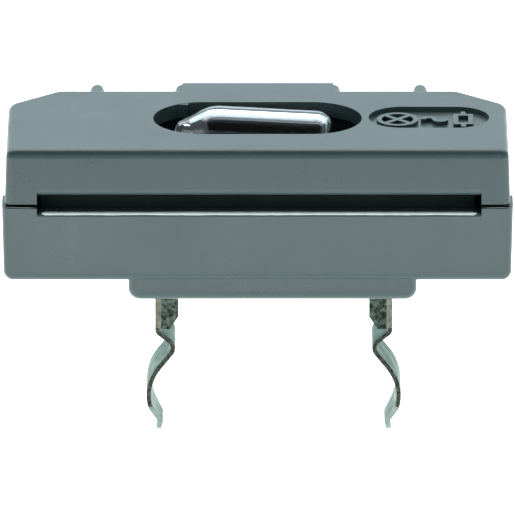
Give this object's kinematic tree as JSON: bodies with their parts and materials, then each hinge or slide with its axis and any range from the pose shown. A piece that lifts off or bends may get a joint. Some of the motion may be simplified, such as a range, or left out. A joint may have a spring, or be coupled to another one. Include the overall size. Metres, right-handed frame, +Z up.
{
  "type": "plug-in glow lamp insert",
  "caption": "Small grey two-part case holding a glass glow lamp behind a window, with two sprung strip contacts below for plugging into a switch.",
  "frame": {"origin": "centre of the case's flat underside, the face that seats on the switch", "axes": "+X along the case, +Y to its back (tongue side), +Z up through the lamp window"},
  "size_m": [0.0306, 0.0131, 0.0203],
  "materials": {
    "case_plastic": "moulded, satin",
    "lamp_glass": "clear, polished",
    "nickel": "drawn",
    "tinned_wire": "tinned",
    "tinned_strip": "tin plated, slightly mottled",
    "ceramic": "unglazed ceramic",
    "resistor_lacquer": "lacquered, with colour bands",
    "sleeve_plastic": "smooth tube",
    "solder": "soft bright solder"
  },
  "bodies": {
    "case": {"base_housing": "case_plastic", "lamp_envelope": "lamp_glass", "front_electrode": "nickel", "rear_electrode": "nickel", "front_lamp_lead": "tinned_wire", "rear_lamp_lead": "tinned_wire", "resistor_core": "ceramic", "resistor_coating": "resistor_lacquer", "left_resistor_cap": "nickel", "right_resistor_cap": "nickel", "left_resistor_lead": "tinned_wire", "right_resistor_lead": "tinned_wire", "splice_ferrule": "tinned_strip", "insulating_sleeve": "sleeve_plastic", "left_contact_shank": "tinned_strip", "right_contact_shank": "tinned_strip", "left_solder_joint": "solder", "right_solder_joint": "solder"},
    "cover": {"top_cover": "case_plastic"},
    "left_leg": {"left_contact_leg": "tinned_strip"},
    "right_leg": {"right_contact_leg": "tinned_strip"}
  },
  "joints": [
    {"name": "cover_lift", "type": "slide", "parent": "case", "child": "cover", "axis": [0, 0, 1], "range_m": [0, 0.012]},
    {"name": "left_leg_flex", "type": "hinge", "parent": "case", "child": "left_leg", "pos_m": [-0.00602, 0, -0.00453], "axis": [0, -1, 0], "range_deg": [-3, 6], "stiffness_Nm_per_rad": 0.02},
    {"name": "right_leg_flex", "type": "hinge", "parent": "case", "child": "right_leg", "pos_m": [0.00798, 0, -0.00453], "axis": [0, 1, 0], "range_deg": [-3, 6], "stiffness_Nm_per_rad": 0.02}
  ]
}
